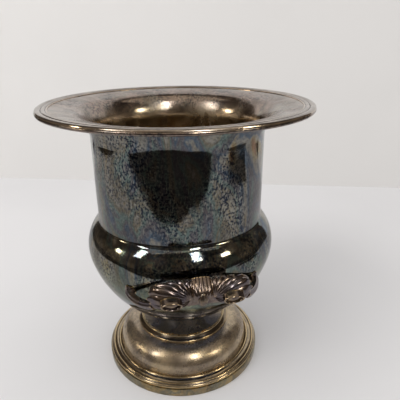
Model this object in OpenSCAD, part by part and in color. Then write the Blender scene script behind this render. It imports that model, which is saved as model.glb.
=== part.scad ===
// Cup trophy: a spun urn-shaped cup with a flared rim, two cast side handles and a domed foot.
// Millimetres. Z is up, the origin is the centre of the resting plane, the handles lie along Y.

/* [Overall] */
// Height from the resting plane to the top of the rim
total_h = 254; // [252:1:262]
// Diameter over the rolled rim
rim_d = 230; // [224:1:240]
// Diameter of the upright wall
wall_d = 150; // [146:1:152]
// Greatest diameter of the bulge
bulge_d = 173.4; // [170:0.2:174]
// Diameter of the foot
foot_d = 154; // [148:1:164]

/* [Cup] */
// Thickness of the spun sheet
sheet = 0.9; // [0.8:0.1:1.1]
// Height of the widest point of the bulge
bulge_z = 127; // [126:1:129]
// Height of the flat seat under the cup
seat_z = 51.4; // [51:0.2:52]
// Width over which the wall curves out into the flare
flare_w = 13; // [12:0.5:14]
// Width of the applied border on the rim
border_w = 10; // [8:0.5:11]

/* [Foot] */
// Radius of the quarter-round dome
dome_r = 20; // [19:0.5:20.5]
// Height of the upright band at the base
base_h = 9; // [8:0.5:9]
// Radius of the neck under the cup
neck_r = 17.5; // [16:0.5:18.5]

/* [Handles] */
// Half the spread of a handle's two feet, as an angle round the cup
handle_spread = 37; // [34:1:39]
// Distance from the cup's axis to the middle of the grip
grip_reach = 104; // [103:1:106]
// Height of the middle of the grip
grip_z = 128; // [126:1:132]
// Diameter of the grip's core
grip_d = 16; // [13:1:17]

/* [Fixings] */
// Diameter of the bolt through the neck
bolt_d = 6; // [5:1:6]
// Diameter of the screws that hold the handles
screw_d = 5; // [4:1:5]

/* [Hidden] */
slip = 0.1;                  // clearance round a fixing
eps = 0.01;
round_fn = 64;
arc_steps = 14;

rim_r = rim_d / 2;
wall_r = wall_d / 2;
bulge_r = bulge_d / 2;
foot_r = foot_d / 2;

// Rim: a border soldered on a flare whose edge is rolled round a wire
border_h = 1.5;
roll_r = 1.5;
wire_r = roll_r - sheet;
roll_c = [rim_r - roll_r, total_h - border_h - roll_r];
border_in = rim_r - border_w;

// Cup profile: upper bulge, lower bulge and belly are arcs that meet smoothly
shoulder_r = 34;
cheek_r = 40;
belly_r = 100;
belly_turn = 15;             // angle below level at which the cheek becomes the belly
crease_r = 5;                // hollow fillet where the wall meets the bulge
seat_r = 30;                 // flat seat under the cup
shoulder_c = [bulge_r - shoulder_r, bulge_z];
cheek_c = [bulge_r - cheek_r, bulge_z];
belly_c = cheek_c - (belly_r - cheek_r) * [cos(belly_turn), -sin(belly_turn)];
crease_gap = wall_r + crease_r - shoulder_c[0];
crease_turn = acos(crease_gap / (shoulder_r + crease_r));
crease_c = [wall_r + crease_r, shoulder_c[1] + (shoulder_r + crease_r) * sin(crease_turn)];
seat_turn = acos((seat_r - belly_c[0]) / belly_r);

// Flare: the wall curves out on a long arc, then a tighter one, and runs out as a shallow dish
lip_slope_in = 14;
lip_slope_out = 6.5;
lip_end = [border_in - 0.5, total_h - border_h - sheet];
lip_start_r = wall_r + flare_w;
lip_r = (lip_end[0] - lip_start_r) / (sin(lip_slope_in) - sin(lip_slope_out));
lip_start = [lip_start_r, lip_end[1] - lip_r * (cos(lip_slope_out) - cos(lip_slope_in))];
lip_c = lip_start + lip_r * [sin(lip_slope_in), -cos(lip_slope_in)];
corner_r = 14;
corner_c = lip_start + corner_r * [sin(lip_slope_in), -cos(lip_slope_in)];
join_lean = 30;              // lean of the wall where the long arc meets the tight one
join = corner_c + corner_r * [-cos(join_lean), sin(join_lean)];
open_r = (join[0] - wall_r) / (1 - cos(join_lean));
open_c = [wall_r + open_r, join[1] - open_r * sin(join_lean)];

// Foot heights and radii
neck_top = seat_z - 2.4;
bead_in = 41;
bead_z = 34.4;
bead_top = 39.4;
bead_out = 46.2;
dome_c = [45, bead_z - dome_r];
cove_r = 66.9;
foot_seat_z = base_h;
step_in = cove_r + 0.1;
step_out = foot_r - 1;
base_wall = 3;
band_swell = 0.1;            // swell of the base band at mid height
bead_reed_r = 0.8;           // fine reeds beside the ring at the neck
border_reed_r = 1;           // fine reed where the dome meets the border
edge_reed_r = 0.9;           // fine reed near the edge of the border
edge_round_r = 1.7;
cavetto_w = bead_in - neck_r;
cavetto_h = neck_top - bead_top;
cavetto_r = (cavetto_w * cavetto_w + cavetto_h * cavetto_h) / (2 * cavetto_h);
cavetto_turn = asin(cavetto_w / cavetto_r);

// Handle feet sit square to the belly
foot_turn = 16;              // angle below level of a handle foot on the belly
foot_point = [belly_c[0] + belly_r * cos(foot_turn), belly_c[1] - belly_r * sin(foot_turn)];
boss_r = 8;
boss_len = 6;
pad_r = 13;
pad_h = 4;
arm_r = 6.2;
grip_half = 32;
grip_r = grip_d / 2;
dish_r = belly_r + 0.02;      // a hair over the belly's radius, so the foot only touches it

// Fixings
bolt_r = bolt_d / 2;
screw_r = screw_d / 2;
seal_h = 1;
clamp_h = 1.2;
spring_h = 1.4;
nut_h = 5;
nut_af = 10;
bolt_head_r = 6;
bolt_head_h = 3;
bolt_len = 18;
screw_head_r = 4.5;
screw_head_h = 2.8;
screw_len = 6;
screw_hole = 5;
washer_r = 6;
washer_h = 1;
washer_bend_r = 83;          // radius of the cup's inner face under a washer
washer_gap = washer_r * washer_r / (2 * washer_bend_r);

silver = [0.62, 0.60, 0.56];
worn = [0.60, 0.52, 0.38];
steel = [0.66, 0.67, 0.69];
fibre = [0.45, 0.18, 0.12];

// Points of an arc about c from angle a0 to a1
function arc(c, r, a0, a1, n = arc_steps) =
    [for (i = [0:n]) c + r * [cos(a0 + (a1 - a0) * i / n), sin(a0 + (a1 - a0) * i / n)]];

// Left-hand normal of a path at point i
function tangent(p, i) = p[min(i + 1, len(p) - 1)] - p[max(i - 1, 0)];
function left_of(p, i) = let (t = tangent(p, i)) [-t[1], t[0]] / norm(t);

// Closed outline of a sheet of thickness t whose outer face is the path p
function sheet_outline(p, t) =
    concat(p, [for (i = [len(p) - 1:-1:0]) p[i] + t * left_of(p, i)]);

// Outer face of the cup from the bolt hole to the end of the edge rolled round the wire
function cup_path() = concat(
    [[bolt_r + slip, seat_z], [seat_r - 1, seat_z]],
    arc(belly_c, belly_r, -seat_turn + 0.6, -belly_turn, 2 * arc_steps),
    arc(cheek_c, cheek_r, -belly_turn + 2, 0, 5),
    arc(shoulder_c, shoulder_r, 4, crease_turn, arc_steps),
    arc(crease_c, crease_r, 180 + crease_turn - 8, 180, 6),
    arc(open_c, open_r, 180, 180 - join_lean, 8),
    arc(corner_c, corner_r, 175 - join_lean, 90 + lip_slope_in, 8),
    arc(lip_c, lip_r, 89 + lip_slope_in, 90 + lip_slope_out, 5),
    arc(roll_c, wire_r, 90, -150, 16)
);

// Revolve a closed outline of [radius, height] points
module spin(outline) {
    rotate_extrude($fn = 180) polygon(outline);
}

// Place children on each of the two feet of the front handle, +Z square out of the belly
module at_handle_feet() {
    for (side = [-1, 1])
        rotate([0, 0, side * handle_spread])
            translate([0, -foot_point[0], foot_point[1]])
                rotate([90 + foot_turn, 0, 0])
                    children();
}

module both_handles() {
    for (turn = [0, 180])
        rotate([0, 0, turn]) children();
}

// Cup with its rolled edge, drilled for the handle screws
module bowl_shell() {
    drill_reach = 6;         // drills through from this far on each side
    color(silver) difference() {
        spin(sheet_outline(cup_path(), sheet));
        both_handles() at_handle_feet() translate([0, 0, -drill_reach])
            cylinder(r = screw_r + 3 * slip, h = 2 * drill_reach, $fn = round_fn);
    }
}

// Moulding on the rim: an inner fillet and two half-round beads
module rim_border() {
    fillet_w = 2.4;          // flat fillet and gaps beside the two beads
    bead_w = (border_w - fillet_w) / 2;
    z0 = total_h - border_h;
    outer_c = [rim_r - 0.3 - bead_w / 2, z0 - 0.4];
    inner_c = [outer_c[0] - bead_w - 0.3, z0 - 0.6];
    color(silver) spin(concat(
        [[border_in, z0], [border_in, z0 + 0.5], [border_in + 1, z0 + 0.7], [border_in + 1.6, z0 + 0.35]],
        [for (a = [150:-20:30]) inner_c + [bead_w / 2 * cos(a), border_h * sin(a)]],
        [for (a = [150:-20:30]) outer_c + [bead_w / 2 * cos(a), (border_h + 0.4) * sin(a)]],
        [[rim_r - 0.4, z0]]));
}

// Wire inside the rolled edge
module rim_wire() {
    color(steel) rotate_extrude($fn = 180)
        translate(roll_c) circle(r = wire_r - eps, $fn = 24);
}

// Straight round bar between two points
module rod(a, b, r) {
    d = b - a;
    translate(a) rotate([0, acos(d[2] / norm(d)), atan2(d[1], d[0])])
        cylinder(r = r, h = norm(d), $fn = round_fn);
}

// Centre of a grip end and of a handle foot's boss, for the handle on the -Y side
function grip_end(side) = [side * grip_half, -grip_reach, grip_z];
function boss_tip(side) =
    let (reach = foot_point[0] + boss_len * cos(foot_turn))
    [side * reach * sin(handle_spread), -reach * cos(handle_spread),
        foot_point[1] - boss_len * sin(foot_turn)];

// A handle's foot: boss and pad in one turned piece, dished to sit on the belly
module handle_foot() {
    rotate_extrude($fn = round_fn) polygon(concat(
        [for (r = [0:pad_r / 4:pad_r]) [r, sqrt(dish_r * dish_r - r * r) - belly_r]],
        [for (a = [15:15:45]) [pad_r * cos(a), pad_h * sin(a)]],
        [[boss_r, pad_h], [boss_r, boss_len], [0, boss_len]]));
}

// Turned bar of the grip, with rounded ends, along X
module grip_bar() {
    translate([0, -grip_reach, grip_z]) rotate([0, 90, 0])
        rotate_extrude($fn = round_fn) polygon(concat(
            [for (a = [-90:15:0]) [grip_r * cos(a), -grip_half + grip_r * sin(a)]],
            [for (a = [0:15:90]) [grip_r * cos(a), grip_half + grip_r * sin(a)]]));
}

// One cast handle: grip, two arms and two feet, with a blind hole for each screw
module handle_casting() {
    difference() {
        union() {
            grip_bar();
            at_handle_feet() handle_foot();
            for (side = [-1, 1])
                rod(boss_tip(side), grip_end(side), arm_r);
        }
        at_handle_feet() translate([0, 0, -3])
            cylinder(r = screw_r + slip / 2, h = 3 + screw_hole, $fn = round_fn);
    }
}

module handle_front() {
    color(worn) handle_casting();
}

module handle_back() {
    color(worn) rotate([0, 0, 180]) handle_casting();
}

// Height, along a foot's axis, of the face of a washer lying inside the cup
washer_z = -sheet - washer_gap - 0.05;

// Flat washers under the screw heads, inside the cup
module handle_washers() {
    color(steel) both_handles() at_handle_feet()
        translate([0, 0, washer_z - washer_h])
            difference() {
                cylinder(r = washer_r, h = washer_h, $fn = round_fn);
                translate([0, 0, -1]) cylinder(r = screw_r + slip, h = washer_h + 2, $fn = round_fn);
            }
}

// Slotted dome-head screws, driven from inside the cup
module handle_screws() {
    head_z = washer_z - washer_h;
    slot_w = 1.2;
    slot_h = 1.2;
    rim_h = 1;
    color(steel) both_handles() at_handle_feet() translate([0, 0, head_z]) {
        difference() {
            rotate_extrude($fn = round_fn) polygon(concat(
                [[0, 0], [screw_head_r, 0]],
                [for (a = [0:15:90])
                    [screw_head_r * cos(a), -rim_h - (screw_head_h - rim_h) * sin(a)]]));
            translate([-slot_w / 2, -screw_head_r - 1, -screw_head_h - 1])
                cube([slot_w, 2 * screw_head_r + 2, slot_h + 1]);
        }
        translate([0, 0, -1]) cylinder(r = screw_r, h = screw_len + 1, $fn = round_fn);
    }
}

// Half-round collar between the neck and the cup
module neck_collar() {
    collar_h = seat_z - neck_top;
    collar_in = 10;
    edge_r = neck_r + 1.2;
    color(worn) spin(concat(
        [[collar_in, neck_top], [edge_r, neck_top]],
        arc([edge_r, neck_top + collar_h / 2], collar_h / 2, -90, 90, 10),
        [[collar_in, seat_z]]));
}

// Outer face of the foot from the bolt hole down to the seat of the border
function foot_path() = concat(
    [[bolt_r + slip, neck_top], [neck_r, neck_top]],
    arc([bead_in, bead_top + cavetto_r], cavetto_r, 270 - cavetto_turn + 3, 270, arc_steps),
    [[bead_in + 0.2, bead_z], [dome_c[0], bead_z]],
    arc(dome_c, dome_r, 88, 6, arc_steps),
    [[cove_r - 1.2, foot_seat_z + 3.6], [cove_r - 0.4, foot_seat_z + 0.8]],
    [[cove_r + 0.6, foot_seat_z], [foot_r - base_wall / 2, foot_seat_z]]);

// Spun foot: cavetto neck, dome and a flat ledge for the border
module foot_shell() {
    color(worn) spin(sheet_outline(foot_path(), -sheet));
}

// Ring where the neck meets the dome: a sloping band between two fine reeds
module foot_bead() {
    upper = [bead_in + 1, bead_top - bead_reed_r];
    lower = [bead_out - bead_reed_r, bead_z + bead_reed_r];
    color(worn) spin(concat(
        [[bead_in + 0.2, bead_z], [bead_in + 0.2, upper[1]]],
        arc(upper, bead_reed_r, 150, -10, 6),
        arc(lower, bead_reed_r, 80, -60, 6),
        [[bead_out - 1, bead_z]]));
}

// Border on the edge of the foot: a rounded band between two fine reeds, and a round edge
module foot_border() {
    z0 = foot_seat_z;
    color(worn) spin(concat(
        [[step_in + 0.7, z0], [step_in - 0.25, z0 + 1], [step_in - 0.8, z0 + 3.3]],
        arc([step_in + 0.2, z0 + 3.4], border_reed_r, 160, 20, 6),
        [[step_in + 1.6, z0 + 3.5], [step_in + 3.4, z0 + 3.1], [step_in + 4.9, z0 + 2.2]],
        arc([step_out - 2.9, z0 + 2], edge_reed_r, 160, 20, 6),
        arc([step_out - edge_round_r, z0], edge_round_r, 85, 0, 5)));
}

// Upright band that the foot rests on
module foot_base_ring() {
    color(worn) spin(concat(
        [[foot_r - base_wall, 0], [foot_r - 0.5, 0], [foot_r, 0.6]],
        [[foot_r + band_swell, base_h / 2], [foot_r, base_h - sheet - 0.8], [foot_r - 0.8, base_h - sheet]],
        [[foot_r - base_wall, base_h - sheet]]));
}

// Dome-head bolt that clamps cup, collar and foot together
module centre_bolt() {
    head_z = seat_z + sheet + seal_h;
    rim_h = 1;
    color(steel) {
        rotate_extrude($fn = round_fn) polygon(concat(
            [[0, head_z], [bolt_head_r, head_z]],
            [for (a = [0:15:90])
                [bolt_head_r * cos(a), head_z + rim_h + (bolt_head_h - rim_h) * sin(a)]]));
        translate([0, 0, head_z - bolt_len]) cylinder(r = bolt_r, h = bolt_len + 1, $fn = round_fn);
    }
}

// Flat ring with a clearance hole for the bolt
module ring(r, h, z) {
    translate([0, 0, z]) difference() {
        cylinder(r = r, h = h, $fn = round_fn);
        translate([0, 0, -1]) cylinder(r = bolt_r + slip, h = h + 2, $fn = round_fn);
    }
}

module seal_washer() {
    seal_r = 9;
    color(fibre) ring(seal_r, seal_h, seat_z + sheet);
}

module clamp_washer() {
    color(steel) ring(neck_r - 3.5, clamp_h, neck_top - sheet - clamp_h);
}

// Split washer
module spring_washer() {
    spring_w = 2.5;
    split = 1;
    spring_z = neck_top - sheet - clamp_h - spring_h;
    color(steel) difference() {
        ring(bolt_r + spring_w, spring_h, spring_z);
        translate([bolt_r - split, -split / 2, spring_z - 1])
            cube([spring_w + 2 * split, split, spring_h + 2]);
    }
}

module hex_nut() {
    color(steel) translate([0, 0, neck_top - sheet - clamp_h - spring_h - nut_h]) difference() {
        cylinder(d = nut_af / cos(30), h = nut_h, $fn = 6);
        translate([0, 0, -1]) cylinder(r = bolt_r + slip / 2, h = nut_h + 2, $fn = round_fn);
    }
}

bowl_shell();
rim_border();
rim_wire();
handle_front();
handle_back();
handle_screws();
handle_washers();
neck_collar();
foot_shell();
foot_bead();
foot_border();
foot_base_ring();
centre_bolt();
seal_washer();
clamp_washer();
spring_washer();
hex_nut();
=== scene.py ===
"""Looks of the urn-shaped cup trophy: spun plated cup, leaf-cast handles and domed foot.

The frame is the CAD model's: Z up, origin at the centre of the resting plane, handles along Y.
Outlines and handle shapes are in millimetres, which make_object turns into metres; the rest is metres.
"""
import math

import bmesh
import bpy
from mathutils import Matrix, Vector, noise


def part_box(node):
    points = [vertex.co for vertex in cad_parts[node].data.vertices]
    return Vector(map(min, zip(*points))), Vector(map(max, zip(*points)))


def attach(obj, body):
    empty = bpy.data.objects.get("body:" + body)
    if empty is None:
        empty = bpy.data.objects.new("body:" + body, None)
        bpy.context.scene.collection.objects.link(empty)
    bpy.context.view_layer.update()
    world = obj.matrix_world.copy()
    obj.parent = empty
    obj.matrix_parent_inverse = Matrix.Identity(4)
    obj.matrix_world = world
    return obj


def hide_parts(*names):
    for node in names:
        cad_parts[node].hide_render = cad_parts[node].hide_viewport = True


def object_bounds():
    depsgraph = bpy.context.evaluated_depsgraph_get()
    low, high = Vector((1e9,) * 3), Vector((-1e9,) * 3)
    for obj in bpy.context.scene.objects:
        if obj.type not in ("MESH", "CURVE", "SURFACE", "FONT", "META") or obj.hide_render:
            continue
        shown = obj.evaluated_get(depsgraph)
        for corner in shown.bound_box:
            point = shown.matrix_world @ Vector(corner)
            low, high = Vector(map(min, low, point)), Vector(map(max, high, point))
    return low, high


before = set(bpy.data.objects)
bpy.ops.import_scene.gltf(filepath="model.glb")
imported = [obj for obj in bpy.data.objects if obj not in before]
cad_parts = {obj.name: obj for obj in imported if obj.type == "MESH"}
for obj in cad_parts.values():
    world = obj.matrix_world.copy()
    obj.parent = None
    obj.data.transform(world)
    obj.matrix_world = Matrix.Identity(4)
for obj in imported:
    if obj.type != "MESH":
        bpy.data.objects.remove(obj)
cad_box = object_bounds()
MM = 0.001

# Driving sizes, in millimetres; the outermost ones are read from the CAD nodes
BOWL = [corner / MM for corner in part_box("bowl_shell")]
FOOT = [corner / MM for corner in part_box("foot_base_ring")]
HEIGHT = cad_box[1].z / MM
RIM_INSET = 0.05
FOOT_INSET = 0.15
RIM_R = BOWL[1].x - RIM_INSET
FOOT_R = FOOT[1].x - FOOT_INSET
SEAT_Z = BOWL[0].z
BOLT_HOLE_R = 3.1
SHEET = 0.9
WALL_R = 75
BULGE_R = 86.7
BULGE_Z = 127
BORDER_H = 1.5
BORDER_W = 10
ROLL_R = 1.5
FLARE_W = 13
AROUND = 288


# ---------------------------------------------------------------- profiles

def arc(centre, radius, start, end, steps=24):
    """Points of an arc from one angle to another, in degrees."""
    points = []
    for i in range(steps + 1):
        a = math.radians(start + (end - start) * i / steps)
        points.append((centre[0] + radius * math.cos(a), centre[1] + radius * math.sin(a)))
    return points


def shifted(path, distance):
    """The path moved sideways, to the left of its direction."""
    moved = []
    for i, point in enumerate(path):
        a = path[max(i - 1, 0)]
        b = path[min(i + 1, len(path) - 1)]
        dx, dz = b[0] - a[0], b[1] - a[1]
        length = math.hypot(dx, dz)
        moved.append((point[0] - dz / length * distance, point[1] + dx / length * distance))
    return moved


def sheet_outline(path, thickness):
    """Closed outline of a sheet whose outer face is the path."""
    return path + shifted(path, thickness)[::-1]


def cup_path():
    """Outer face of the cup, from the bolt hole to the end of the edge rolled round its wire."""
    shoulder_r, cheek_r, belly_r, crease_r = 34, 40, 100, 5
    seat_flat_r, seat_edge_r = 29, 30
    belly_turn = math.radians(15)
    cheek = (BULGE_R - cheek_r, BULGE_Z)
    shoulder = (BULGE_R - shoulder_r, BULGE_Z)
    belly = (
        cheek[0] - (belly_r - cheek_r) * math.cos(belly_turn),
        cheek[1] + (belly_r - cheek_r) * math.sin(belly_turn),
    )
    reach = shoulder_r + crease_r
    crease_turn = math.acos((WALL_R + crease_r - shoulder[0]) / reach)
    crease = (WALL_R + crease_r, BULGE_Z + reach * math.sin(crease_turn))
    turn = math.degrees(crease_turn)
    roll = (RIM_R - ROLL_R, HEIGHT - BORDER_H - ROLL_R)
    lip_end = (RIM_R - BORDER_W - 0.5, HEIGHT - BORDER_H - SHEET)
    slope_in, slope_out, corner_r, join_lean = 14, 6.5, 14, 30
    sin_in, cos_in = math.sin(math.radians(slope_in)), math.cos(math.radians(slope_in))
    sin_join, cos_join = math.sin(math.radians(join_lean)), math.cos(math.radians(join_lean))
    lip_r = (lip_end[0] - WALL_R - FLARE_W) / (sin_in - math.sin(math.radians(slope_out)))
    lip_start = (WALL_R + FLARE_W, lip_end[1] - lip_r * (math.cos(math.radians(slope_out)) - cos_in))
    lip = (lip_start[0] + lip_r * sin_in, lip_start[1] - lip_r * cos_in)
    corner = (lip_start[0] + corner_r * sin_in, lip_start[1] - corner_r * cos_in)
    join = (corner[0] - corner_r * cos_join, corner[1] + corner_r * sin_join)
    open_r = (join[0] - WALL_R) / (1 - cos_join)
    opening = (WALL_R + open_r, join[1] - open_r * sin_join)
    seat_turn = math.degrees(math.acos((seat_edge_r - belly[0]) / belly_r))
    path = [(BOLT_HOLE_R, SEAT_Z), (seat_flat_r, SEAT_Z)]
    path += arc(belly, belly_r, -seat_turn + 0.6, -15, 40)
    path += arc(cheek, cheek_r, -14, 0, 10)
    path += arc(shoulder, shoulder_r, 2, turn, 28)
    path += arc(crease, crease_r, 180 + turn - 6, 180, 10)
    wall_steps = 12
    for i in range(1, wall_steps):
        path.append((WALL_R, crease[1] + (opening[1] - crease[1]) * i / wall_steps))
    path += arc(opening, open_r, 180, 180 - join_lean, 20)
    path += arc(corner, corner_r, 178 - join_lean, 90 + slope_in, 20)
    path += arc(lip, lip_r, 89.5 + slope_in, 90 + slope_out, 12)
    path += arc(roll, ROLL_R - SHEET, 90, -150, 24)
    return path


def bead(centre_r, base_z, half_width, height):
    """Half-round moulding, from its inner to its outer edge."""
    start, end, steps = 160, 20, 14
    points = []
    for i in range(steps + 1):
        a = math.radians(start + (end - start) * i / steps)
        points.append((centre_r + half_width * math.cos(a), base_z + height * math.sin(a)))
    return points


# ---------------------------------------------------------------- meshes

def make_object(name, vertices, faces, material, replaced, sharp=32):
    """A smooth-shaded closed mesh, its faces turned outward, that stands for the CAD nodes it replaces.

    The material is a pair of material and slot name, and the slot name is not used; edges sharper than
    sharp degrees stay crisp.
    """
    mesh = bpy.data.meshes.new(name)
    mesh.from_pydata([tuple(c * MM for c in v) for v in vertices], [], faces)
    mesh.validate()
    solid = bmesh.new()
    solid.from_mesh(mesh)
    if solid.calc_volume(signed=True) < 0:
        mesh.flip_normals()
    solid.free()
    mesh.update()
    obj = bpy.data.objects.new(name, mesh)
    bpy.context.scene.collection.objects.link(obj)
    obj.data.materials.append(material[0])
    for polygon in mesh.polygons:
        polygon.use_smooth = True
    mesh.set_sharp_from_angle(angle=math.radians(sharp))
    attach(obj, "root")
    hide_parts(*replaced)
    return obj


def lathe(name, outline, material, replaced, sharp=32, wobble=0.0, lining=None):
    """Spin a closed outline of (radius, height) points round Z.

    Wobble is how far shallow dents move the face; a lining is the material of the outline's second half.
    """
    dent_scale = 0.03
    vertices = []
    faces = []
    count = len(outline)
    for j in range(AROUND):
        a = 2 * math.pi * j / AROUND
        for r, z in outline:
            dent = wobble * noise.noise(Vector((r * math.cos(a), r * math.sin(a), z)) * dent_scale)
            vertices.append(((r + dent) * math.cos(a), (r + dent) * math.sin(a), z))
    for j in range(AROUND):
        k = (j + 1) % AROUND
        for i in range(count):
            n = (i + 1) % count
            faces.append((j * count + i, k * count + i, k * count + n, j * count + n))
    obj = make_object(name, vertices, faces, material, replaced, sharp)
    if lining:
        obj.data.materials.append(lining)
        for index, polygon in enumerate(obj.data.polygons):
            polygon.material_index = int(index % count >= count // 2)


# ---------------------------------------------------------------- materials

def new_material(name):
    """An empty node material with its shader, and a helper that adds and wires nodes."""
    material = bpy.data.materials.new(name)
    material.use_nodes = True
    tree = material.node_tree
    shader = tree.nodes["Principled BSDF"]

    def add(kind, inputs=None, **settings):
        made = tree.nodes.new(kind)
        for key, value in settings.items():
            setattr(made, key, value)
        for key, value in (inputs or {}).items():
            if isinstance(value, bpy.types.NodeSocket):
                tree.links.new(value, made.inputs[key])
            else:
                made.inputs[key].default_value = value
        return made

    return material, tree, shader, add


def ramp(add, factor, stops):
    """Colour ramp from (position, colour) stops; a single number is a grey."""
    made = add("ShaderNodeValToRGB", {"Fac": factor})
    made.color_ramp.interpolation = "EASE"
    elements = made.color_ramp.elements
    while len(elements) < len(stops):
        elements.new(0.5)
    for element, (position, colour) in zip(elements, stops):
        element.position = position
        if isinstance(colour, (int, float)):
            colour = (colour, colour, colour)
        element.color = (*colour, 1)
    return made.outputs["Color"]


def blend(add, factor, a, b, mode="MIX"):
    """Mix of two colours, each a socket or a plain colour."""
    factor_in, a_in, b_in, colour_out = 0, 6, 7, 2
    made = add("ShaderNodeMix", data_type="RGBA", blend_type=mode)
    tree = made.id_data
    for index, value in ((factor_in, factor), (a_in, a), (b_in, b)):
        if isinstance(value, bpy.types.NodeSocket):
            tree.links.new(value, made.inputs[index])
        elif isinstance(value, (int, float)):
            made.inputs[index].default_value = value
        else:
            made.inputs[index].default_value = (*value, 1)
    return made.outputs[colour_out]


def noise_at(add, coords, scale, detail=3.0, distortion=0.0):
    """Noise value over the given coordinates; scale is in waves per metre."""
    made = add("ShaderNodeTexNoise", {
        "Vector": coords, "Scale": scale, "Detail": detail, "Roughness": 0.55, "Distortion": distortion})
    return made.outputs["Fac"]


# Tones that every plated metal shares
GRIME = (0.075, 0.06, 0.05)
DARK_SPECK = (0.022, 0.032, 0.058)
PALE_SPECK = (0.42, 0.43, 0.38)

# Noise in the plate, in waves per metre
CLOUD_SCALE = 60.0
DARK_SPECK_SCALE = 520.0
PALE_SPECK_SCALE = 760.0
SPECKLED_AREA_SCALE = 34.0
SMEAR_SCALE = 48.0
GRAIN_SCALE = 330.0
TURNING_SCALE = 95.0
DENT_SCALE = 24.0


def plated_metal(name, tones, stretch=(1, 1, 1), patch_scale=26.0, speckle=0.5, dirt=0.4,
                 rough=(0.08, 0.3), wear_and_highlight=None, wear_and_highlight_range=(0.5, 0.56), hollow=None,
                 rings=0.0, seed=0.0, zones=(), metal=1.0):
    """Silver plate with coloured tarnish in patches, fine speckle, lighter edges (partly rubbed plate,
    partly painted highlight) and darker hollows.

    Each zone is (tone, low, high, share, blend mode) and tints the metal below the height high, fully
    below low. Rings is the strength of the turning marks; seed moves the patches.
    """
    first_stop, stop_span = 0.28, 0.44
    material, tree, shader, add = new_material(name)
    coord = add("ShaderNodeTexCoord").outputs["Object"]
    moved = add("ShaderNodeMapping", {"Vector": coord, "Scale": stretch, "Location": (seed, seed, 0)})
    patches = noise_at(add, moved.outputs["Vector"], patch_scale, 4.0, 0.9)
    step = stop_span / (len(tones) - 1)
    colour = ramp(add, patches, [(first_stop + step * i, tone) for i, tone in enumerate(tones)])

    cloud = noise_at(add, coord, CLOUD_SCALE, 5.0, 0.4)
    colour = blend(add, ramp(add, cloud, [(0.38, 0.0), (0.66, dirt)]), colour, GRIME)

    fine = noise_at(add, coord, DARK_SPECK_SCALE, 2.0)
    area = noise_at(add, moved.outputs["Vector"], SPECKLED_AREA_SCALE, 2.0)
    area = ramp(add, area, [(0.36, 0.25), (0.62, 1.0)])
    dark_spots = ramp(add, fine, [(0.48, 0.0), (0.56, speckle)])
    dark_spots = blend(add, 1.0, dark_spots, area, "MULTIPLY")
    colour = blend(add, dark_spots, colour, DARK_SPECK)
    pale = noise_at(add, moved.outputs["Vector"], PALE_SPECK_SCALE, 2.0)
    pale_spots = ramp(add, pale, [(0.55, 0.0), (0.62, speckle * 0.75)])
    pale_spots = blend(add, 1.0, pale_spots, area, "MULTIPLY")
    colour = blend(add, pale_spots, colour, PALE_SPECK)

    level = add("ShaderNodeSeparateXYZ", {"Vector": coord}).outputs["Z"]
    for zone_tone, low, high, most, mode in zones:
        share = ramp(add, level, [(low, most), (high, 0.0)])
        colour = blend(add, share, colour, zone_tone, mode)

    edge = add("ShaderNodeNewGeometry").outputs["Pointiness"]
    if hollow:
        colour = blend(add, ramp(add, edge, [(0.43, 0.85), (0.495, 0.0)]), colour, hollow)
    # Convex edges are lightened: partly rubbed plate, partly a painted highlight for the bright lines on
    # reeds and scrolls
    if wear_and_highlight:
        wear_and_highlight_share = ramp(add, edge, [(wear_and_highlight_range[0], 0.0), (wear_and_highlight_range[1], 0.9)])
        colour = blend(add, wear_and_highlight_share, colour, wear_and_highlight)

    tree.links.new(colour, shader.inputs["Base Color"])
    shader.inputs["Metallic"].default_value = metal
    smear = noise_at(add, moved.outputs["Vector"], SMEAR_SCALE, 5.0, 0.5)
    roughness = ramp(add, smear, [(0.35, rough[0]), (0.7, rough[1])])
    tree.links.new(roughness, shader.inputs["Roughness"])

    grain = noise_at(add, coord, GRAIN_SCALE, 3.0)
    bump = add("ShaderNodeBump", {"Height": grain, "Strength": 0.12, "Distance": 0.0002})
    if rings:
        wave = add("ShaderNodeTexWave", {
            "Vector": coord, "Scale": TURNING_SCALE, "Distortion": 1.5, "Detail": 2.0},
            bands_direction="Z")
        bump = add("ShaderNodeBump", {
            "Height": wave.outputs["Fac"], "Normal": bump.outputs["Normal"],
            "Strength": rings, "Distance": 0.0002})
    dents = noise_at(add, coord, DENT_SCALE, 1.0)
    bump = add("ShaderNodeBump", {
        "Height": dents, "Normal": bump.outputs["Normal"], "Strength": 0.10, "Distance": 0.004})
    tree.links.new(bump.outputs["Normal"], shader.inputs["Normal"])
    return material


BLUE = (0.115, 0.165, 0.225)
TEAL = (0.18, 0.25, 0.235)
LILAC = (0.17, 0.165, 0.18)
SILVER = (0.35, 0.345, 0.31)
STONE = (0.24, 0.22, 0.17)
OLIVE = (0.38, 0.32, 0.19)
COPPER = (0.34, 0.21, 0.12)
BRASS = (0.52, 0.40, 0.20)
SEA_GREEN = (0.30, 0.38, 0.24)
DEEP_BLUE = (0.05, 0.08, 0.24)
GOLD = (0.76, 0.64, 0.46)

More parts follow.
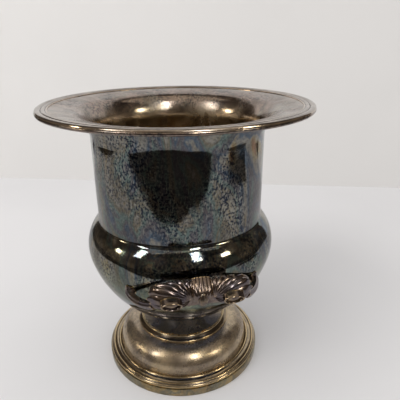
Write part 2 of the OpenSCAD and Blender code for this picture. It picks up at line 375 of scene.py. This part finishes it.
CUP = (plated_metal(
    "tarnished_plate", [COPPER, OLIVE, SILVER, BLUE, LILAC, TEAL, STONE, SILVER, OLIVE, BLUE],
    stretch=(1, 1, 0.42), patch_scale=30.0, speckle=0.95, rough=(0.04, 0.16), seed=0.9,
    zones=[(SEA_GREEN, 0.108, 0.140, 0.55, "COLOR"), (DEEP_BLUE, 0.084, 0.100, 0.75, "MIX")]),
    "silver_plate")
LINING = plated_metal(
    "lining_plate",
    [(0.44, 0.35, 0.27), (0.31, 0.26, 0.22), (0.45, 0.36, 0.31), (0.37, 0.33, 0.29), (0.42, 0.33, 0.24)],
    patch_scale=28.0, speckle=0.7, dirt=0.4, rough=(0.14, 0.32), seed=2.3,
    zones=[(GOLD, 0.222, 0.244, 0.75, "MIX")])
RIM = (plated_metal(
    "rim_plate", [(0.50, 0.46, 0.43), (0.55, 0.50, 0.46), (0.40, 0.37, 0.35), (0.52, 0.47, 0.40)],
    speckle=0.2, dirt=0.35, rough=(0.10, 0.26), wear_and_highlight=(0.62, 0.52, 0.42), hollow=(0.06, 0.05, 0.045),
    seed=0.3), "silver_plate")
CAST = (plated_metal(
    "cast_plate", [(0.24, 0.18, 0.16), (0.18, 0.16, 0.18), (0.28, 0.22, 0.19), (0.15, 0.12, 0.12)],
    patch_scale=40.0, speckle=0.25, dirt=0.3, rough=(0.14, 0.30), wear_and_highlight=(0.70, 0.54, 0.34),
    wear_and_highlight_range=(0.515, 0.60), hollow=(0.04, 0.03, 0.025), seed=0.7), "cast_plate")
# Lighter, more golden copy of the cast plate for the bulb and the scrolls: partly rubbed plate, partly a
# painted highlight
RUBBED_AND_HIGHLIT = (plated_metal(
    "rubbed_and_highlit_cast_plate", [(0.28, 0.21, 0.16), (0.20, 0.17, 0.17), (0.32, 0.25, 0.18), (0.17, 0.14, 0.13)],
    patch_scale=60.0, speckle=0.25, dirt=0.35, rough=(0.14, 0.28), wear_and_highlight=(0.78, 0.60, 0.35),
    wear_and_highlight_range=(0.515, 0.60), hollow=(0.05, 0.04, 0.03), seed=0.5), "cast_plate")
WORN = (plated_metal(
    "worn_plate", [(0.54, 0.43, 0.30), (0.64, 0.52, 0.36), (0.46, 0.37, 0.27), (0.66, 0.53, 0.34)],
    patch_scale=22.0, speckle=0.35, dirt=0.4, rough=(0.22, 0.34), wear_and_highlight=(0.80, 0.64, 0.36),
    wear_and_highlight_range=(0.505, 0.55), hollow=(0.06, 0.045, 0.03), rings=0.08, seed=1.1, metal=0.9),
    "worn_plate")
# Reed plate: the bright golden colour on the reed crests is partly rubbed brass and partly a painted
# highlight
REEDS = (plated_metal(
    "reed_plate", [(0.42, 0.34, 0.24), (0.50, 0.41, 0.29), (0.36, 0.30, 0.23), (0.52, 0.43, 0.29)],
    patch_scale=22.0, speckle=0.3, dirt=0.35, rough=(0.14, 0.26), wear_and_highlight=(0.92, 0.72, 0.40),
    wear_and_highlight_range=(0.502, 0.53), hollow=(0.05, 0.035, 0.025), seed=1.4), "worn_plate")
BAND = (plated_metal(
    "base_band_plate",
    [(0.30, 0.27, 0.15), BRASS, (0.29, 0.27, 0.19), (0.44, 0.33, 0.17), (0.40, 0.35, 0.21)],
    patch_scale=46.0, speckle=0.35, dirt=0.4, rough=(0.16, 0.34), seed=1.7), "worn_plate")


# ---------------------------------------------------------------- turned pieces

def cup_pieces():
    """Cup shell with its rolled edge, and the border applied on its rim."""
    lathe("cup_shell", sheet_outline(cup_path(), SHEET), CUP, ["bowl_shell"], wobble=0.12, lining=LINING)
    top = HEIGHT - BORDER_H
    inner = RIM_R - BORDER_W
    outline = [(inner, top), (inner, top + 0.5), (inner + 0.5, top + 0.75), (inner + 1.2, top + 0.6)]
    outline += bead(inner + 3.2, top - 0.1, 1.7, 1.35)
    outline += bead(RIM_R - 2.7, top - 0.3, 2.4, 1.8)
    outline += [(RIM_R - 0.3, top - 0.4), (RIM_R - 2.0, top)]
    lathe("rim_border_moulding", outline, RIM, ["rim_border"])


# Foot sizes, in millimetres: the neck, the ring below it, and the skirt that lies on the base band
NECK_R = 17.5
NECK_TOP = SEAT_Z - 2.4
RING_IN = 41
RING_OUT = 46.2
RING_Z = 34.4
RING_TOP = 39.4
BASE_H = 9


def foot_dome():
    """Hollow foot: flat top with the bolt hole, waisted neck, dome and flat skirt."""
    dome_r, dome_centre_r = 20, 45
    width, drop = RING_IN - NECK_R, NECK_TOP - RING_TOP
    hollow_r = (width * width + drop * drop) / (2 * drop)
    turn = math.degrees(math.asin(width / hollow_r))
    path = [(BOLT_HOLE_R, NECK_TOP), (NECK_R, NECK_TOP)]
    path += arc((RING_IN, RING_TOP + hollow_r), hollow_r, 270 - turn + 1, 270, 30)
    path += [(RING_IN + 0.2, RING_Z), (dome_centre_r, RING_Z)]
    path += arc((dome_centre_r, RING_Z - dome_r), dome_r, 89, 6, 40)
    path += [(65.7, 12.6), (66.5, 9.8), (67.5, BASE_H), (FOOT_R - 1.5, BASE_H)]
    lathe("foot_dome", sheet_outline(path, -SHEET), WORN, ["foot_shell"], wobble=0.15)


def foot_ring():
    """Ring of two reeds, one above the other, where the neck meets the dome."""
    reed_r = 0.8
    inner = RING_IN + 0.2
    upper = (RING_IN + 1, RING_TOP - reed_r)
    lower = (RING_OUT - reed_r, RING_Z + reed_r)
    outline = [(inner, RING_Z), (inner, upper[1])]
    outline += arc(upper, reed_r, 150, -10, 12) + arc(lower, reed_r, 80, -60, 12)
    outline += [(RING_OUT - 1, RING_Z)]
    lathe("foot_neck_ring", outline, REEDS, ["foot_bead"], sharp=50)


def foot_border():
    """Reeded border round the dome: an inner reed, a sloping fillet and two outer reeds."""
    inner, outer = 67, FOOT_R - 1
    rise = ((0.7, 0), (-0.25, 1), (-0.8, 3.3))
    fall = ((1.6, 3.5), (2.5, 3.38), (3.4, 3.1), (4.2, 2.7), (4.9, 2.2))
    outline = [(inner + out, BASE_H + up) for out, up in rise]
    outline += arc((inner + 0.2, BASE_H + 3.4), 1, 160, 20, 12)
    outline += [(inner + out, BASE_H + up) for out, up in fall]
    outline += arc((outer - 2.9, BASE_H + 2), 0.9, 160, 20, 12)
    outline += arc((outer - 1.7, BASE_H), 1.7, 85, 0, 12)
    lathe("foot_border_moulding", outline, REEDS, ["foot_border"], sharp=50)


def base_band():
    """Upright band that the cup stands on."""
    steps = ((-3, 0), (-0.5, 0), (0, 0.6), (0.1, 4.5), (0, 7.3), (-0.3, 7.9), (-0.9, 8.1), (-3, 8.1))
    lathe("foot_base_band", [(FOOT_R + out, z) for out, z in steps], BAND, ["foot_base_ring"])


cup_pieces()
foot_dome()
foot_ring()
foot_border()
base_band()


# ---------------------------------------------------------------- handles

# The front handle: its grip, and the point and direction in which an arm leaves the cup
GRIP_Y = -103.5
GRIP_Z = 131.5
GRIP_HALF = 39.5
GRIP_STRAIGHT = 20.0
GRIP_DEPTH = 4.4
GRIP_RISE = 9.6
GRIP_LEAN = math.radians(15)
FOOT_AT = Vector((51.05, -67.75, 114.9))
FOOT_OUT = Vector((0.5785, -0.7677, -0.2756))


def smooth_between(low, high, x):
    """0 below low, 1 above high, smooth in between."""
    t = min(max((x - low) / (high - low), 0.0), 1.0)
    return t * t * (3 - 2 * t)


def grip_point(x, angle, proud):
    """Point on the grip at x, at an angle round it (0 faces outward, 90 is up), raised by proud."""
    bend = max(abs(x) - GRIP_STRAIGHT, 0.0) / (GRIP_HALF - GRIP_STRAIGHT)
    fade = 1.0 - 0.5 * smooth_between(0.5, 1.05, bend) ** 2
    a = math.radians(angle)
    out = (GRIP_DEPTH + proud) * fade * math.cos(a)
    up = (GRIP_RISE + proud) * fade * math.sin(a)
    y = GRIP_Y + 4.5 * bend * bend - out * math.cos(GRIP_LEAN) + up * math.sin(GRIP_LEAN)
    z = GRIP_Z - 2.5 * bend * bend + out * math.sin(GRIP_LEAN) + up * math.cos(GRIP_LEAN)
    return Vector((x, y, z))


def bar_faces(rows, around):
    """Faces of a closed bar made of rows of points, with so many points round each."""
    faces = []
    for i in range(rows - 1):
        for j in range(around):
            k = (j + 1) % around
            faces.append((i * around + j, i * around + k, (i + 1) * around + k, (i + 1) * around + j))
    faces.append(tuple(range(around))[::-1])
    faces.append(tuple((rows - 1) * around + j for j in range(around)))
    return faces


def tube(points, radii, relief):
    """Closed bar along a path, with a radius for each point and relief(angle) added round it."""
    around = 48
    vertices = []
    up = Vector((0, 0, 1))
    count = len(points)
    for i, point in enumerate(points):
        ahead = (points[min(i + 1, count - 1)] - points[max(i - 1, 0)]).normalized()
        side = ahead.cross(up).normalized()
        over = side.cross(ahead)
        for j in range(around):
            a = 2 * math.pi * j / around
            vertices.append(point + (side * math.cos(a) + over * math.sin(a)) * (radii[i] + relief(a)))
    return vertices, bar_faces(count, around)


def patch(shape, nu, nv, thickness):
    """Closed plate: shape(u, v) gives one face, and the other is thickness to one side of it."""
    front = [[shape(i / nu, j / nv) for j in range(nv + 1)] for i in range(nu + 1)]
    vertices = []
    faces = []
    for i in range(nu + 1):
        for j in range(nv + 1):
            du = front[min(i + 1, nu)][j] - front[max(i - 1, 0)][j]
            dv = front[i][min(j + 1, nv)] - front[i][max(j - 1, 0)]
            normal = du.cross(dv)
            normal = normal.normalized() if normal.length > 1e-9 else Vector((0, -1, 0))
            vertices.append(front[i][j])
            vertices.append(front[i][j] - normal * thickness)
    row = 2 * (nv + 1)
    for i in range(nu):
        for j in range(nv):
            a, b = i * row + 2 * j, i * row + 2 * (j + 1)
            c, d = b + row, a + row
            faces.append((a, d, c, b))
            faces.append((a + 1, b + 1, c + 1, d + 1))
    for j in range(nv):
        for i in (0, nu):
            a, b = i * row + 2 * j, i * row + 2 * (j + 1)
            faces.append((a, b, b + 1, a + 1) if i == 0 else (a, a + 1, b + 1, b))
    for i in range(nu):
        for j in (0, nv):
            a, b = i * row + 2 * j, (i + 1) * row + 2 * j
            faces.append((a, a + 1, b + 1, b) if j == 0 else (a, b, b + 1, a + 1))
    return vertices, faces


def arm_points(side):
    """Centre line of an arm, a Bezier curve from its foot on the cup to inside the grip."""
    steps = 26
    start = Vector((FOOT_AT.x * side, FOOT_AT.y, FOOT_AT.z))
    out = Vector((FOOT_OUT.x * side, FOOT_OUT.y, FOOT_OUT.z))
    a = start - out * 0.5
    b = start + out * 6
    c = Vector((side * 42.5, GRIP_Y + 9, GRIP_Z - 14.0))
    d = Vector((side * 35, GRIP_Y + 1.5, GRIP_Z - 7.5))
    points = []
    for i in range(steps + 1):
        t = i / steps
        s = 1 - t
        points.append(a * s ** 3 + b * 3 * s * s * t + c * 3 * s * t * t + d * t ** 3)
    return points


def arm(side):
    """Fluted arm, flared at its foot."""
    radius, flare, flutes, flute_depth = 3.2, 1.2, 6, 0.25
    points = arm_points(side)
    last = len(points) - 1
    radii = [radius + flare * (1 - smooth_between(0.0, 0.3, i / last)) for i in range(last + 1)]
    return tube(points, radii, lambda a: flute_depth * math.cos(flutes * a))


def foot_leaf(side):
    """Small rounded leaf under an arm, lying on the curve of the cup."""
    leaf_r, lobes, swell, cup_r, lift = 5.2, 6, 2.0, 90.0, 0.7
    out = Vector((FOOT_OUT.x * side, FOOT_OUT.y, FOOT_OUT.z))
    across = Vector((0, 0, 1)).cross(out).normalized()
    up = out.cross(across)
    centre = Vector((FOOT_AT.x * side, FOOT_AT.y, FOOT_AT.z))

    def shape(u, v):
        a = 2 * math.pi * v
        r = (0.02 + u * 0.98) * leaf_r * (1 + 0.05 * math.cos(lobes * a)) * (1 + 0.15 * math.sin(a))
        dome = swell * (1 - u * u) + 0.2 * math.cos(lobes * a) * u * (1.2 - u)
        sag = -r * r / (2 * cup_r)
        return centre + across * r * math.cos(a) + up * r * math.sin(a) + out * (sag + lift + dome)

    return patch(shape, 14, 84, 0.7)


def main_leaf(side):
    """Acanthus leaf round the outer part of the grip, its flutes fanning out from beside the shell.

    The fan is drawn flat, with x along the grip and girth round it, then wrapped on the grip.
    """
    fan_x, fan_girth = 8.5, -3.0
    first_turn, sweep = -42, 140
    reach_out, reach_in, reach_up, reach_down = 31.0, 3.0, 19.0, 7.5
    lobes, flute_depth, swell, proud = 9, 0.6, 1.5, 0.5

    def shape(u, v):
        turn = math.radians(first_turn + sweep * v)
        along, rise = math.cos(turn), math.sin(turn)
        girth_reach = reach_up if rise > 0 else reach_down
        edge = (max(along, 0.0) / reach_out) ** 3 + (abs(rise) / girth_reach) ** 3
        edge += (max(-along, 0.0) / reach_in) ** 3
        ripple = abs(math.cos(math.pi * lobes * v))
        reach = edge ** (-1 / 3) * (0.90 + 0.10 * ripple)
        run = 0.6 + u * reach
        x = fan_x + run * along
        girth = fan_girth + run * rise
        angle = math.degrees(girth / GRIP_RISE)
        flute = flute_depth * (ripple - 0.6) * smooth_between(0.1, 0.4, u)
        crown = swell * math.sin(math.pi * min(0.12 + 0.88 * u, 1.0)) + 0.2 * (1 - u)
        point = grip_point(min(x, GRIP_HALF + 0.6), angle, proud + crown + flute)
        return Vector((point.x * side, point.y, point.z))

    return patch(shape, 40, 126, 1.0 * side)


def leaf_scroll(side):
    """Leaf tip curled over into an oval ring with a dished middle, on the front of the grip."""
    half_length, half_width = 8.2, 4.6
    dish_part, ring_part = 0.55, 0.45
    dish_r, ring_r, ring_half = 0.74, 0.87, 0.13
    centre = Vector((side * 23.0, GRIP_Y - 8.9, GRIP_Z - 3.6))
    long_axis = Vector((1.0, 0.0, 0.06 * side)).normalized()
    facing = Vector((0.0, -0.93, -0.36)).normalized()
    short_axis = facing.cross(long_axis).normalized()

    def shape(u, v):
        a = 2 * math.pi * v
        if u < dish_part:
            r = u / dish_part * dish_r
            h = 0.5 - 1.9 * (r / dish_r) ** 2
        else:
            over = (u - dish_part) / ring_part
            r = ring_r - ring_half * math.cos(over * math.pi)
            h = 2.1 * math.sin(over * math.pi) - 1.1 - 3.8 * smooth_between(0.7, 1.0, over)
        r = max(r, 0.02)
        stem = 1.0 - 0.12 * side * math.cos(a)
        along = long_axis * (half_length * r * math.cos(a))
        across = short_axis * (half_width * r * stem * math.sin(a))
        return centre + along + across + facing * h

    return patch(shape, 26, 64, 0.8)


def palmette():
    """Ribbed shell on the middle of the grip, narrow below and fanned out above."""
    low_half, spread, height = 3.0, 3.8, 14.6
    ribs, rib_depth = 5, 0.65

    def shape(u, v):
        w = 2 * v - 1
        half = low_half + spread * math.sin(min(u * 1.1, 1.0) * math.pi / 2)
        scallop = 1 + 0.03 * math.cos(ribs * math.pi * w) * u
        z = GRIP_Z - 4.0 + height * u * (1 - 0.10 * w * w) * scallop
        bow = math.sin(math.pi * min(0.12 + 0.9 * u, 1.0))
        y = GRIP_Y - 5.4 - 2.0 * bow + 6.5 * u ** 3 + 1.4 * u + 0.9 * w * w
        rib = rib_depth * abs(math.cos(ribs / 2 * math.pi * w)) * smooth_between(0.15, 0.45, u)
        return Vector((half * w, y - rib, z))

    return patch(shape, 44, 60, 1.6)


def bulb():
    """Small ribbed drop at the foot of the shell."""
    radius, half_height, ribs = 3.6, 5.4, 9

    def shape(u, v):
        a = 2 * math.pi * v
        t = u * math.pi
        r = (radius * math.sin(t) + 0.05) * (1 + 0.15 * math.cos(t)) * (1 + 0.05 * math.cos(ribs * a))
        y = GRIP_Y - 7.4 - 0.75 * r * math.sin(a)
        return Vector((r * math.cos(a), y, GRIP_Z - 1.5 - half_height * math.cos(t)))

    return patch(shape, 20, 72, 0.5)


def core():
    """Bar inside the leaves."""
    steps, around = 40, 40
    end_x = GRIP_HALF - 2
    vertices = []
    for i in range(steps + 1):
        x = -end_x * (1 - i / steps) + end_x * i / steps
        for j in range(around):
            vertices.append(grip_point(x, 360 * j / around, 0.0))
    return vertices, bar_faces(steps + 1, around)


def handle_parts():
    """Every part of one handle, for the handle on the -Y side."""
    parts = {"core": core(), "palmette": palmette(), "bulb": bulb()}
    for side, word in ((-1, "left"), (1, "right")):
        parts[f"arm_{word}"] = arm(side)
        parts[f"foot_leaf_{word}"] = foot_leaf(side)
        parts[f"leaf_{word}"] = main_leaf(side)
        parts[f"scroll_{word}"] = leaf_scroll(side)
    return parts


def handles():
    """Both handles; the back one is the front one turned half round."""
    parts = handle_parts()
    for place, turn in (("front", 1), ("back", -1)):
        for part, (vertices, faces) in parts.items():
            turned = [Vector((v.x * turn, v.y * turn, v.z)) for v in vertices]
            # The bulb and the scrolls take the lighter copy of the cast plate, which is partly a painted
            # highlight
            metal = RUBBED_AND_HIGHLIT if part.startswith(("bulb", "scroll")) else CAST
            make_object(f"handle_{place}_{part}", turned, faces, metal, [f"handle_{place}"], sharp=60)


handles()


# ---------------------------------------------------------------- hidden and small parts

def fibre_material():
    """Red vulcanised fibre of the sealing washer."""
    material, tree, shader, add = new_material("red_fibre")
    coord = add("ShaderNodeTexCoord").outputs["Object"]
    fibres = noise_at(add, coord, 900.0, 4.0)
    colour = ramp(add, fibres, [(0.35, (0.16, 0.05, 0.03)), (0.65, (0.30, 0.11, 0.07))])
    tree.links.new(colour, shader.inputs["Base Color"])
    tree.links.new(ramp(add, fibres, [(0.3, 0.55), (0.7, 0.8)]), shader.inputs["Roughness"])
    return material


STEEL = plated_metal("dull_zinc", [(0.5, 0.5, 0.5), (0.4, 0.4, 0.4)], patch_scale=120.0,
                     speckle=0.2, dirt=0.3, rough=(0.25, 0.45))
KEPT_NODES = {
    "rim_wire": STEEL, "handle_screws": STEEL, "handle_washers": STEEL, "centre_bolt": STEEL,
    "clamp_washer": STEEL, "spring_washer": STEEL, "hex_nut": STEEL, "neck_collar": WORN[0],
    "seal_washer": fibre_material(),
}
for node, material in KEPT_NODES.items():
    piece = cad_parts[node]
    piece.data.materials.clear()
    piece.data.materials.append(material)


# ---------------------------------------------------------------- room, light and camera

# The table and the wall behind it, turned about Z
TABLE_TURN = math.radians(-16.2)
WALL_Y = 0.499
STAGE_HALF = 4.0

# Colours of the lights that the plate mirrors
WARM_LAMP = (1, 0.88, 0.66)
GOLDEN_LAMP = (1, 0.90, 0.70)
WINDOW_LIGHT = (1, 0.96, 0.9)
CEILING_LIGHT = (1, 0.88, 0.72)


def plain(name, colour, emission=0.0):
    """Matt or glowing stage material with a faint mottle."""
    material, tree, shader, add = new_material(name)
    coord = add("ShaderNodeTexCoord").outputs["Object"]
    mottle = noise_at(add, coord, 3.0, 3.0)
    darker = tuple(c * 0.97 for c in colour)
    tone = ramp(add, mottle, [(0.35, darker), (0.65, colour)])
    if emission:
        tree.links.new(tone, shader.inputs["Emission Color"])
        shader.inputs["Emission Strength"].default_value = emission
        shader.inputs["Base Color"].default_value = (0, 0, 0, 1)
    else:
        tree.links.new(tone, shader.inputs["Base Color"])
    shader.inputs["Roughness"].default_value = 0.9
    shader.inputs["Specular IOR Level"].default_value = 0.1
    return material


def stage_sheet(name, corners, material, shown=(), turn=TABLE_TURN):
    """A flat stage piece, seen only by the kinds of ray named in shown."""
    mesh = bpy.data.meshes.new(name)
    mesh.from_pydata([Vector(c) for c in corners], [], [tuple(range(len(corners)))])
    obj = bpy.data.objects.new(name, mesh)
    bpy.context.scene.collection.objects.link(obj)
    obj.rotation_euler.z = turn
    obj.data.materials.append(material)
    obj.visible_camera = "camera" in shown
    obj.visible_glossy = "glossy" in shown
    obj.visible_diffuse = "diffuse" in shown
    obj.visible_shadow = "shadow" in shown
    obj.visible_transmission = False


def level_sheet(left, right, near, far, z=0.0):
    """Corners of a level rectangle."""
    return [(left, near, z), (right, near, z), (right, far, z), (left, far, z)]


def upright_sheet(left, right, top):
    """Corners of an upright rectangle in the plane of the wall."""
    return [(left, WALL_Y, 0), (right, WALL_Y, 0), (right, WALL_Y, top), (left, WALL_Y, top)]


def lamp_sheet(name, azimuth, elevation, width, height, strength, colour):
    """A glowing window seen only in reflections; its place and size are angles seen from the cup."""
    reach, cup_centre = 1.6, Vector((0, 0, 0.09))
    a, e = math.radians(azimuth), math.radians(elevation)
    direction = Vector((math.sin(a) * math.cos(e), -math.cos(a) * math.cos(e), math.sin(e)))
    centre = direction * reach + cup_centre
    across = Vector((math.cos(a), math.sin(a), 0)) * reach * math.radians(width) / 2
    up = across.normalized().cross(direction) * reach * math.radians(height) / 2
    if up.z < 0:
        up = -up
    corners = [centre - across - up, centre + across - up, centre + across + up, centre - across + up]
    stage_sheet(name, corners, plain(name + "_glow", colour, strength), ("glossy",), 0.0)


def room():
    """Pale table and wall for the camera, and the table, wall and floor that the plate mirrors."""
    pale = plain("pale_table", (0.80, 0.78, 0.77))
    wall = plain("pale_wall", (0.80, 0.78, 0.755))
    stage_sheet("floor", level_sheet(-STAGE_HALF, STAGE_HALF, -STAGE_HALF, WALL_Y),
                pale, ("camera", "diffuse", "shadow"))
    stage_sheet("backdrop", upright_sheet(-STAGE_HALF, STAGE_HALF, 3), wall, ("camera",))
    stage_sheet("wall_mirrored", upright_sheet(-0.62, 0.575, 0.9), wall, ("glossy",))
    # The near edge is given in the cup's axes; past it the cup mirrors the dark floor, as a shield
    turn = Matrix.Rotation(-TABLE_TURN, 4, "Z")
    near = [(-0.90, -0.26), (-0.50, -0.33), (-0.215, -0.376), (-0.06, -0.43), (0.035, -0.495),
            (0.145, -0.496), (0.267, -0.532), (0.356, -0.596), (0.423, -0.70)]
    edge = [turn @ Vector((x, y, 0)) for x, y in near]
    table = edge + [Vector((0.9, -0.5, 0)), Vector((0.9, WALL_Y, 0)), Vector((-0.86, WALL_Y, 0))]
    stage_sheet("table_mirrored", table, pale, ("glossy",))
    dark = plain("dark_things", (0.085, 0.072, 0.062))
    stage_sheet("dark_mat", level_sheet(0.58, 0.87, -0.24, 0.13, 0.001), dark, ("glossy",))
    stage_sheet("dark_floor", level_sheet(-5, 5, -5, 5, -0.01), dark, ("glossy",))


def dark_room():
    """Brown room round the table, seen only in reflections."""
    bpy.ops.mesh.primitive_uv_sphere_add(segments=48, ring_count=24, radius=4.5)
    dome = bpy.context.object
    dome.name = "room_mirrored"
    material, tree, _, add = new_material("room_glow")
    coord = add("ShaderNodeTexCoord").outputs["Object"]
    mottle = noise_at(add, coord, 0.55, 3.0, 0.3)
    tone = ramp(add, mottle, [(0.35, (0.045, 0.036, 0.030)), (0.5, (0.10, 0.080, 0.063)),
                              (0.68, (0.20, 0.16, 0.12))])
    glow = add("ShaderNodeEmission", {"Color": tone, "Strength": 1.0})
    tree.links.new(glow.outputs["Emission"], tree.nodes["Material Output"].inputs["Surface"])
    dome.data.materials.append(material)
    dome.visible_camera = False
    dome.visible_diffuse = False
    dome.visible_shadow = False
    dome.visible_transmission = False


def lights():
    """Soft studio light for the table, and the windows that show as highlights in the plate."""
    key_at, key_aim = Vector((-1.2, -0.7, 1.5)), Vector((0, 0, 0.1))
    world = bpy.data.worlds.new("pale_world")
    bpy.context.scene.world = world
    world.use_nodes = True
    world.node_tree.nodes["Background"].inputs["Color"].default_value = (0.95, 0.95, 0.96, 1)
    world.node_tree.nodes["Background"].inputs["Strength"].default_value = 0.82
    lamp = bpy.data.lights.new("soft_key", "AREA")
    lamp.energy = 14
    lamp.size = 1.1
    key = bpy.data.objects.new("soft_key", lamp)
    key.location = key_at
    key.rotation_euler = (key_aim - key_at).to_track_quat("-Z", "Y").to_euler()
    key.visible_glossy = False
    key.visible_camera = False
    bpy.context.scene.collection.objects.link(key)
    for name, azimuth, elevation, width, height, strength, colour in (
        ("lamp_a", -88, 22, 7, 7, 16, WARM_LAMP),
        ("lamp_b", -62, 38, 8, 20, 9, WINDOW_LIGHT),
        ("lamp_c", 12, 42, 9, 24, 10, WINDOW_LIGHT),
        ("lamp_d", 48, 28, 9, 8, 16, GOLDEN_LAMP),
        ("ceiling", 0, 80, 80, 50, 0.6, CEILING_LIGHT),
    ):
        lamp_sheet(name, azimuth, elevation, width, height, strength, colour)


def camera():
    """Camera as the photograph was taken: close, from above, a little left of the front handle."""
    height = HEIGHT * MM
    back, above = 1.3698 * height, 1.19874 * height
    orbit = math.radians(-7.5)
    pitch, yaw, roll = math.radians(22.24), math.radians(3.09), math.radians(-0.46)
    level = math.cos(pitch)
    forward = Vector((math.sin(yaw) * level, math.cos(yaw) * level, -math.sin(pitch)))
    right = forward.cross(Vector((0, 0, 1))).normalized()
    over = right.cross(forward)
    x_axis = right * math.cos(roll) + over * math.sin(roll)
    y_axis = over * math.cos(roll) - right * math.sin(roll)
    view = Matrix((x_axis, y_axis, -forward)).transposed().to_4x4()
    view.translation = Vector((0, -back, above))
    data = bpy.data.cameras.new("camera")
    data.lens = 36
    data.sensor_width = 36
    data.clip_start = 0.01
    eye = bpy.data.objects.new("camera", data)
    eye.matrix_world = Matrix.Rotation(orbit, 4, "Z") @ view
    bpy.context.scene.collection.objects.link(eye)
    bpy.context.scene.camera = eye


bpy.context.scene.view_settings.view_transform = "Standard"
room()
dark_room()
lights()
camera()
